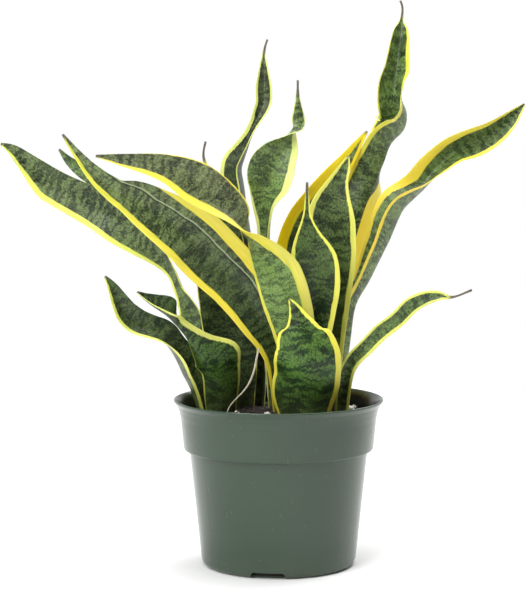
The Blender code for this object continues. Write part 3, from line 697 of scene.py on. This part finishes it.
def mark(mesh, title, values):
    """Keep three numbers for each vertex, for the material to read."""
    data = mesh.attributes.new(title, "FLOAT_VECTOR", "POINT")
    data.data.foreach_set("vector", np.array(values, dtype=np.float32).ravel())


def circle(radius, height, steps):
    """Points round the Z axis in metres, from a radius and a height in mm."""
    angles = [math.tau * step / steps for step in range(steps)]
    return [Vector((radius * math.cos(angle) * MM, radius * math.sin(angle) * MM,
                    height * MM)) for angle in angles]


def lofted(loops):
    """Points and faces that skin closed loops, capped with a fan at each end."""
    points = []
    for loop in loops:
        points.extend(loop)
    count = len(loops[0])
    faces = []
    for ring in range(len(loops) - 1):
        for index in range(count):
            after = (index + 1) % count
            low = ring * count
            high = low + count
            faces.append((low + index, low + after, high + after, high + index))
    for start, loop in ((0, loops[0]), ((len(loops) - 1) * count, loops[-1])):
        hub = len(points)
        points.append(sum(loop, Vector()) / count)
        for index in range(count):
            faces.append((start + index, start + (index + 1) % count, hub))
    return points, faces


def add_copy(points, faces, form, move):
    """Add a copy of a form to a growing mesh, each of its points moved by a function."""
    start = len(points)
    points.extend(move(point) for point in form[0])
    faces.extend(tuple(start + index for index in side) for side in form[1])


def smooth_value(before, start, end, after, share):
    """Catmull-Rom interpolation from start to end."""
    slope_start = (end - before) / 2
    slope_end = (after - start) / 2
    square = share * share
    cube = square * share
    return ((2 * cube - 3 * square + 1) * start + (cube - 2 * square + share) * slope_start
            + (3 * square - 2 * cube) * end + (cube - square) * slope_end)


def smooth_rows(rows, steps):
    """The rows of a table with smooth steps added between each pair."""
    fine = []
    for step in range((len(rows) - 1) * steps + 1):
        index = min(step // steps, len(rows) - 2)
        start, end = rows[index], rows[index + 1]
        before = rows[index - 1] if index > 0 else start
        after = rows[index + 2] if index + 2 < len(rows) else end
        share = step / steps - index
        fine.append([smooth_value(*group, share) for group in zip(before, start, end, after)])
    return np.array(fine)


# ---- leaves


def even_rings(stations):
    """Stations resampled at an even spacing and softened, with their places along."""
    fine = smooth_rows(stations, FINE_STEPS)
    steps = np.linalg.norm(np.diff(fine[:, :3], axis=0), axis=1)
    lengths = np.concatenate([[0.0], np.cumsum(steps)])
    count = max(LEAST_RINGS, int(lengths[-1] / RING_SPACING))
    goals = np.linspace(0.0, lengths[-1], count + 1)
    rings = np.stack([np.interp(goals, lengths, column) for column in fine.T], 1)
    rings[1:-1] = rings[1:-1] * 0.5 + (rings[:-2] + rings[2:]) * 0.25
    rings[:, 3] = np.maximum(rings[:, 3], LEAST_HALF)
    return rings, goals


def along_table(table, share):
    """Values of a table of (share, value, value ...) rows at one share."""
    shares, *columns = zip(*table)
    return [float(np.interp(share, shares, column)) for column in columns]


def blade_thickness(share, half):
    """Thickness at the midrib at a share of the length: stout at the base."""
    base = max(0.0, 1 - share / BASE_SHARE)
    tip = max(0.0, 1 - (1 - share) / TIP_SHARE)
    body = BLADE_THICKNESS + (BASE_THICKNESS - BLADE_THICKNESS) * base
    return min(body + (TIP_THICKNESS - body) * tip, half * THICKEST_SHARE)


def around_blade():
    """(place, lift) round a section: across the upper face, then back along the lower.

    place runs from -1 at one margin to 1 at the other, closer near the margins.
    """
    across = [math.sin((index / (ACROSS_POINTS - 1) - 0.5) * math.pi)
              for index in range(ACROSS_POINTS)]
    return ([(place, 1) for place in across]
            + [(place, -1) for place in reversed(across[1:-1])])


def blade_directions(rings, index):
    """The directions across the blade and out of its upper face, at one ring."""
    before = Vector(rings[max(index - 1, 0)][:3])
    after = Vector(rings[min(index + 1, len(rings) - 1)][:3])
    tangent = (after - before).normalized()
    view = Vector((0, 1, 0))
    side = tangent.cross(view).normalized()
    depth = (view - tangent * view.dot(tangent)).normalized()
    turn = math.radians(rings[index][4])
    across = side * math.cos(turn) + depth * math.sin(turn)
    return across, tangent.cross(across)


def margin_wave(number, place, along):
    """How far the margin waves at a place, from about -1 to 1."""
    slow = noise.noise(Vector((number * LONG_SEED + place, along / LONG_WAVE, 0.0)))
    quick = noise.noise(Vector((number * SHORT_SEED - place, along / SHORT_WAVE, 4.0)))
    return slow + SHORT_WAVE_SHARE * quick


def blade_loop(row, directions, along, thick, number):
    """The closed outline of a blade at one ring: folded, waved and thin at its margins."""
    across, normal = directions
    half = float(row[3])
    fold = math.radians(row[5])
    loop = []
    for place, lift in around_blade():
        wave = margin_wave(number, place, along)
        out = across * place * math.cos(fold)
        out += normal * abs(place) ** TROUGH_POWER * math.sin(fold)
        skin = lift * (thick / 2) * math.sqrt(max(0.0, 1.0 - abs(place) ** 3.0))
        if MARGIN_START < abs(place) < 1.0:
            skin = lift * max(abs(skin), min(MARGIN_THICKNESS, thick) / 2)
        reach = half * (1.0 + EDGE_WAVE * wave * abs(place))
        ripple = RIPPLE * wave * place * place * min(1.0, half / RIPPLE_HALF)
        loop.append((Vector(row[:3]) + out * reach + normal * (skin + ripple)) * MM)
    return loop


def blade_marks(name, row, share, along, number):
    """What the leaf material reads at each point of one ring, as four lists."""
    half = float(row[3])
    plus, minus = along_table(MARGINS[name], share)
    light, gold, green = along_table(TINTS[name], share)
    dry = min(1.0, max(0.0, (THREAD_HALF - half) / THREAD_BLEND))
    if share <= THREAD_START:
        dry = 0.0
    deep = min(1.0, max(0.0, 1.0 - (row[2] - SHADE_BOTTOM) / SHADE_HEIGHT)) ** SHADE_POWER
    places = []
    tints = []
    for place, _ in around_blade():
        places.append((place * half, along, number * PATTERN_SEED))
        inset = (1.0 - abs(place)) * half - (plus if place > 0 else minus)
        tints.append((inset, light, green))
    count = len(places)
    return places, tints, [(gold, dry, deep)] * count, [tuple(STYLES[name])] * count


def make_leaf(name, stations, material, number):
    """One detailed leaf in place of its CAD node."""
    rings, lengths = even_rings(stations)
    titles = ("leaf_place", "leaf_tint", "leaf_ends", "leaf_style")
    marks = {title: [] for title in titles}
    loops = []
    for index, row in enumerate(rings):
        along = lengths[index]
        share = along / lengths[-1]
        thick = blade_thickness(share, float(row[3]))
        loops.append(blade_loop(row, blade_directions(rings, index), along, thick, number))
        for title, values in zip(titles, blade_marks(name, row, share, along, number)):
            marks[title].extend(values)
    mesh = mesh_of(name + "_blade", *lofted(loops))
    for title, values in marks.items():
        # The two end caps' middle points are coloured as the midrib beside them.
        for start in (0, len(values) - len(loops[0])):
            values.append(values[start + ACROSS_POINTS // 2])
        mark(mesh, title, values)
    add_piece(mesh, material, name)


# ---- pot


def arc(centre, radius, start, end, count):
    """Points of a circular arc in the profile plane, angles in degrees."""
    points = []
    for step in range(count + 1):
        angle = math.radians(start + (end - start) * step / count)
        points.append((centre[0] + radius * math.cos(angle),
                       centre[1] + radius * math.sin(angle)))
    return points


def rounded(points, radius, count=4):
    """The same open line with its inner corners rounded."""
    line = [points[0]]
    for before, corner, after in zip(points, points[1:], points[2:]):
        corner = Vector(corner)
        start = Vector(before) - corner
        end = Vector(after) - corner
        reach = min(radius, start.length * 0.45, end.length * 0.45)
        first = corner + start.normalized() * reach
        last = corner + end.normalized() * reach
        for step in range(count + 1):
            share = step / count
            point = first * (1 - share) ** 2 + corner * 2 * share * (1 - share)
            point += last * share ** 2
            line.append((point.x, point.y))
    line.append(points[-1])
    return line


def under_side():
    """The underside, from the middle out: a shallow recess inside the standing ring."""
    return [(14.0, 0.9), (15.0, 0.5), (46.0, 0.5), (48.0, 0.0)]


def outer_wall():
    """The outside of the pot from foot to rim."""
    line = arc((FOOT_RADIUS - FOOT_ROUND, FOOT_ROUND), FOOT_ROUND, -90, 0, 10)
    upper = [
        line[-1],
        (BODY_TOP_RADIUS - 0.2, BAND_BOTTOM - 0.4),
        (BAND_BOTTOM_RADIUS - 0.5, BAND_BOTTOM + 0.2),
        (BAND_BOTTOM_RADIUS, BAND_BOTTOM + 1.4),
        (CROWN_RADIUS, CROWN_HEIGHT),
        (BAND_TOP_RADIUS + 0.3, POT_HEIGHT - LIP_DROP),
        (BAND_TOP_RADIUS + 1.9, POT_HEIGHT - 4.6),
        (RIM_RADIUS - 0.5, POT_HEIGHT - 1.9),
        (RIM_RADIUS, POT_HEIGHT - 1.0),
        (RIM_RADIUS - 0.2, POT_HEIGHT - 0.1),
        (RIM_RADIUS - 1.0, POT_HEIGHT),
    ]
    return line[:-1] + rounded(upper, OUTER_EDGE_ROUND)


def inner_wall():
    """The inside of the pot from rim to floor."""
    upper = [
        (RIM_RADIUS - 1.5, POT_HEIGHT - 0.4),
        (BAND_TOP_RADIUS + 0.4, POT_HEIGHT - 5.0),
        (BAND_TOP_RADIUS - WALL + 0.1, POT_HEIGHT - LIP_DROP - 0.6),
        (CROWN_RADIUS - WALL, CROWN_HEIGHT),
        (BAND_BOTTOM_RADIUS - WALL, BAND_BOTTOM + 2.6),
        (BODY_TOP_RADIUS - WALL, BAND_BOTTOM + 0.7),
        (FOOT_RADIUS - WALL, FOOT_ROUND + 1.0),
        (FOOT_RADIUS - WALL - 3.5, WALL),
    ]
    return rounded(upper, INNER_EDGE_ROUND) + [(FLOOR_INNER_RADIUS, WALL)]


def slot_cutter(angle):
    """A block with rounded upper corners, for one drain slot."""
    half = SLOT_WIDTH / 2
    outline = [(-half, -SLOT_REACH_DOWN), (-half + 1.6, SLOT_HEIGHT - 1.4),
               (-half + SLOT_CORNER, SLOT_HEIGHT), (half - SLOT_CORNER, SLOT_HEIGHT),
               (half - 1.6, SLOT_HEIGHT - 1.4), (half, -SLOT_REACH_DOWN)]
    turn = math.radians(angle)
    out = Vector((math.cos(turn), math.sin(turn), 0))
    side = Vector((-math.sin(turn), math.cos(turn), 0))
    loops = []
    for reach in (FOOT_RADIUS - SLOT_DEPTH, FOOT_RADIUS + SLOT_REACH_OUT):
        loops.append([(out * reach + side * u + Vector((0, 0, h))) * MM for u, h in outline])
    return place_object("slot_cutter", mesh_of("slot_cutter", *lofted(loops)))


def mark_inside(mesh):
    """Mark the inside of the wall and the floor, darkened there as painted shade, with 1, and the
    rest with 0.
    """
    marks = []
    for vertex in mesh.vertices:
        outward = Vector((vertex.co.x, vertex.co.y, 0.0)).normalized()
        height = vertex.co.z / MM
        facing_in = vertex.normal.dot(outward) < -0.25 or vertex.normal.z > 0.8
        # The painted shade covers faces turned inwards or upwards, below the rim.
        inside_shaded = 1.0 if facing_in and 1.2 < height < POT_HEIGHT - 1.0 else 0.0
        marks.append((inside_shaded, 0.0, 0.0))
    mark(mesh, "pot_inside_shade", marks)


def make_pot(material):
    """The pot in finer detail: rolled lip, stepped band, ringed underside, slots."""
    profile = under_side() + outer_wall() + inner_wall()
    loops = [circle(radius, height, POT_STEPS) for radius, height in profile]
    blank = place_object("pot_blank", mesh_of("pot_blank", *lofted(loops)))
    cutters = []
    for index in range(SLOT_COUNT):
        cutter = slot_cutter(SLOT_FIRST_ANGLE + index * 360.0 / SLOT_COUNT)
        cut = blank.modifiers.new("slot", "BOOLEAN")
        cut.object = cutter
        cut.solver = "EXACT"
        cutters.append(cutter)
    bpy.context.view_layer.update()
    graph = bpy.context.evaluated_depsgraph_get()
    shell = bpy.data.meshes.new_from_object(blank.evaluated_get(graph))
    for item in cutters + [blank]:
        bpy.data.objects.remove(item, do_unlink=True)
    shell.name = "pot_shell"
    mark_inside(shell)
    add_piece(shell, material, "pot")
    shell.set_sharp_from_angle(angle=math.radians(SHARP_ANGLE))


# ---- soil


def soil_height(x, y):
    """Height of the soil in mm: mounded, uneven and lumpy."""
    radius = math.hypot(x, y)
    angle = math.atan2(y, x)
    mound = SOIL_MOUND * math.cos(min(radius / SOIL_RADIUS, 1.0) * math.pi / 2)
    swell = 0.5 * math.sin(3 * angle) + 0.4 * math.cos(5 * angle + 1.0)
    lump = sum(height * noise.noise(Vector((x / length, y / length, seed)))
               for height, length, seed in SOIL_LUMPS)
    return SOIL_TOP - SOIL_SETTLED + mound + swell * radius / SOIL_RADIUS + lump


def make_soil(material):
    """A lumpy bed that fills the pot."""
    wall = [
        (FLOOR_INNER_RADIUS, WALL + 0.5),
        (FOOT_RADIUS - WALL - 4.0, WALL + 0.5),
        (FOOT_RADIUS - WALL - SOIL_GAP, FOOT_ROUND + 1.5),
        (BODY_TOP_RADIUS - WALL - SOIL_GAP, BAND_BOTTOM),
        (BAND_BOTTOM_RADIUS - WALL - SOIL_GAP, BAND_BOTTOM + 4.0),
    ]
    loops = [circle(radius, height, SOIL_STEPS) for radius, height in wall]
    angles = [math.tau * step / SOIL_STEPS for step in range(SOIL_STEPS)]
    for ring in range(SOIL_RING_COUNT):
        radius = (CROWN_RADIUS - WALL - SOIL_GAP / 2) * (1 - ring / SOIL_RING_COUNT)
        places = [(radius * math.cos(angle), radius * math.sin(angle)) for angle in angles]
        loops.append([Vector((x, y, soil_height(x, y))) * MM for x, y in places])
    add_piece(mesh_of("soil_bed", *lofted(loops)), material, "soil")


def lump_shape(generator, subdivisions, roughness):
    """A rough unit lump: an icosphere pushed in and out."""
    builder = bmesh.new()
    bmesh.ops.create_icosphere(builder, subdivisions=subdivisions, radius=1.0)
    offset = Vector((generator.uniform(0, 99), generator.uniform(0, 99), 0.0))
    points = []
    for vertex in builder.verts:
        push = 1.0 + roughness * noise.noise(vertex.co * 1.6 + offset)
        push += roughness * 0.5 * noise.noise(vertex.co * 4.0 + offset)
        points.append(vertex.co * push)
    faces = [tuple(vertex.index for vertex in face.verts) for face in builder.faces]
    builder.free()
    return points, faces


def random_turn(generator):
    """A random rotation."""
    return Euler([generator.uniform(0, math.tau) for _ in range(3)]).to_matrix()


def soil_spot(generator, reach):
    """A random place on the soil, in mm."""
    radius = reach * math.sqrt(generator.random())
    angle = generator.uniform(0, math.tau)
    return radius * math.cos(angle), radius * math.sin(angle)


def add_crumb(points, faces, generator, shapes):
    """One crumb, stretched and turned at random."""
    x, y = soil_spot(generator, CRUMB_REACH)
    size = 0.5 + 1.5 * generator.random() ** 3
    shape = (generator.uniform(0.7, 1.5), generator.uniform(0.6, 1.1), 0.6)
    turn = random_turn(generator)
    centre = Vector((x, y, soil_height(x, y) + size * 0.15))

    def move(point):
        scaled = Vector(point[axis] * shape[axis] * size for axis in range(3))
        return (centre + turn @ scaled) * MM

    add_copy(points, faces, generator.choice(shapes), move)


def add_shred(points, faces, generator):
    """One thin shred of bark: a bent, pointed strip with a diamond section."""
    x, y = soil_spot(generator, SHRED_REACH)
    length = generator.uniform(3.0, 9.0)
    heading = generator.uniform(0, math.tau)
    ahead = Vector((math.cos(heading), math.sin(heading), generator.uniform(-0.1, 0.2)))
    side = Vector((-math.sin(heading), math.cos(heading), 0))
    bend = generator.uniform(-1.2, 1.2)
    width = generator.uniform(0.25, 0.7)
    centre = Vector((x, y, soil_height(x, y) + 0.7))
    start = len(points)
    for step in range(SHRED_STEPS + 1):
        share = step / SHRED_STEPS - 0.5
        body = width * (1.0 - abs(share) * 1.2)
        middle = centre + ahead * length * share + side * bend * share * share * 4
        for lean, rise in ((-1, 0), (0, 0.5), (1, 0), (0, -0.5)):
            points.append((middle + side * lean * body + Vector((0, 0, rise * body))) * MM)
    for low in range(start, start + SHRED_STEPS * 4, 4):
        for corner in range(4):
            after = (corner + 1) % 4
            faces.append((low + corner, low + after, low + 4 + after, low + 4 + corner))
    for low in (start, start + SHRED_STEPS * 4):
        faces.append((low, low + 1, low + 2, low + 3))


def make_crumbs(material):
    """Loose crumbs and thin shreds of bark over the bed, as one piece."""
    generator = random.Random(CRUMB_SEED)
    shapes = [lump_shape(generator, 1, 0.8) for _ in range(12)]
    points = []
    faces = []
    for _ in range(CRUMB_COUNT):
        add_crumb(points, faces, generator, shapes)
    for _ in range(SHRED_COUNT):
        add_shred(points, faces, generator)
    add_piece(mesh_of("bark_crumbs", points, faces), material)


def make_perlite(material):
    """The white grains that lie on the soil, and small bits of the same in it."""
    for index, (x, y, radius) in enumerate(PERLITE):
        form, sides = lump_shape(random.Random(GRAIN_SEED + index), 3, 0.55)
        centre = Vector((x, y, soil_height(x, y) + radius * 0.62))
        points = [(centre + point * radius * 0.98) * MM for point in form]
        name = "perlite_%d" % (index + 1)
        add_piece(mesh_of(name + "_grain", points, sides), material, name)
    generator = random.Random(BIT_SEED)
    shapes = [lump_shape(generator, 2, 0.7) for _ in range(6)]
    points = []
    faces = []
    for _ in range(BIT_COUNT):
        x, y = soil_spot(generator, BIT_REACH)
        size = generator.uniform(0.5, 1.3)
        shape = generator.choice(shapes)
        turn = random_turn(generator)
        centre = Vector((x, y, soil_height(x, y) + size * 0.35))
        add_copy(points, faces, shape, lambda point: (centre + turn @ point * size) * MM)
    add_piece(mesh_of("perlite_bits", points, faces), material)


def make_fibre(material):
    """The dried fibre: a thin, slightly flattened, twisting thread."""
    fine = [Vector(row) for row in smooth_rows(FIBRE_PATH, FIBRE_STEPS)]
    loops = []
    for step, point in enumerate(fine):
        share = step / (len(fine) - 1)
        tangent = fine[min(step + 1, len(fine) - 1)] - fine[max(step - 1, 0)]
        tangent.normalize()
        side = tangent.cross(Vector((0, 1, 0))).normalized()
        front = tangent.cross(side)
        radius = FIBRE_RADIUS * (0.55 + 0.45 * math.sin(math.pi * min(1.0, share + 0.25)))
        loop = []
        for corner in range(FIBRE_SIDES):
            angle = math.tau * corner / FIBRE_SIDES + share * 5.0
            reach = radius * (1.0 + 0.18 * math.cos(2 * angle))
            loop.append((point + side * math.cos(angle) * reach
                         + front * math.sin(angle) * reach * 0.7) * MM)
        loops.append(loop)
    mesh = mesh_of("dried_fibre_thread", *lofted(loops))
    add_piece(mesh, material, "dried_fibre")


# ---- stage


def make_camera():
    """The camera that looks at the front of the plant."""
    data = bpy.data.cameras.new("camera")
    data.sensor_fit = "VERTICAL"
    data.sensor_height = SENSOR
    data.lens = LENS
    data.shift_x = CAMERA_SHIFT
    data.clip_end = 60.0
    camera = place_object("camera", data)
    camera.location = CAMERA_PLACE
    camera.rotation_euler = (math.radians(90 - CAMERA_TILT), 0, 0)
    bpy.context.scene.camera = camera


def make_floor(material):
    """A wide plain floor."""
    rim = circle(FLOOR_RADIUS / MM, 0.0, FLOOR_SIDES)
    mesh = bpy.data.meshes.new("floor")
    mesh.from_pydata([tuple(point) for point in rim], [], [tuple(range(FLOOR_SIDES))])
    mesh.materials.append(material)
    floor = place_object("floor", mesh)


def add_light(name, place, width, power):
    """A square soft box at a place, aimed at the plant."""
    data = bpy.data.lights.new(name, "AREA")
    data.shape = "RECTANGLE"
    data.size = width
    data.size_y = width
    data.energy = power
    light = place_object(name, data)
    light.location = place
    aim = Vector(LIGHT_AIM) - Vector(place)
    light.rotation_euler = aim.to_track_quat("-Z", "Y").to_euler()


def make_world():
    """A white studio: bright behind the object, softer as a light on it."""
    n = Nodes(bpy.data.worlds.new("studio"))
    ray = n.add("ShaderNodeLightPath").outputs
    heading = n.split(n.add("ShaderNodeTexCoord").outputs["Generated"])[1]
    # Mirrored in the object, the studio is bright behind it and dim in front of it.
    strength = n.spread(heading, -0.55, 0.45, FRONT_GLOSS, 1.0)
    strength = n.blend(ray["Is Diffuse Ray"], strength, WORLD_FILL)
    strength = n.blend(ray["Is Camera Ray"], strength, 1.0)
    background = n.tree.nodes["Background"]
    n.put(background.inputs["Color"], (1.0, 1.0, 1.0, 1.0))
    n.put(background.inputs["Strength"], strength)
    bpy.context.scene.world = n.owner


def make_stage():
    """Camera, floor and lights."""
    make_camera()
    make_floor(floor_material())
    make_world()
    for light in LIGHTS:
        add_light(*light)
    bpy.context.scene.view_settings.view_transform = "Standard"


def build():
    """Make every piece."""
    make_stage()
    make_pot(pot_material())
    make_soil(soil_material())
    make_crumbs(bark_material())
    make_perlite(perlite_material())
    make_fibre(fibre_material())
    leaf_skin = leaf_material()
    for number, (name, stations) in enumerate(LEAVES.items()):
        make_leaf(name, stations, leaf_skin, number + 1)


build()
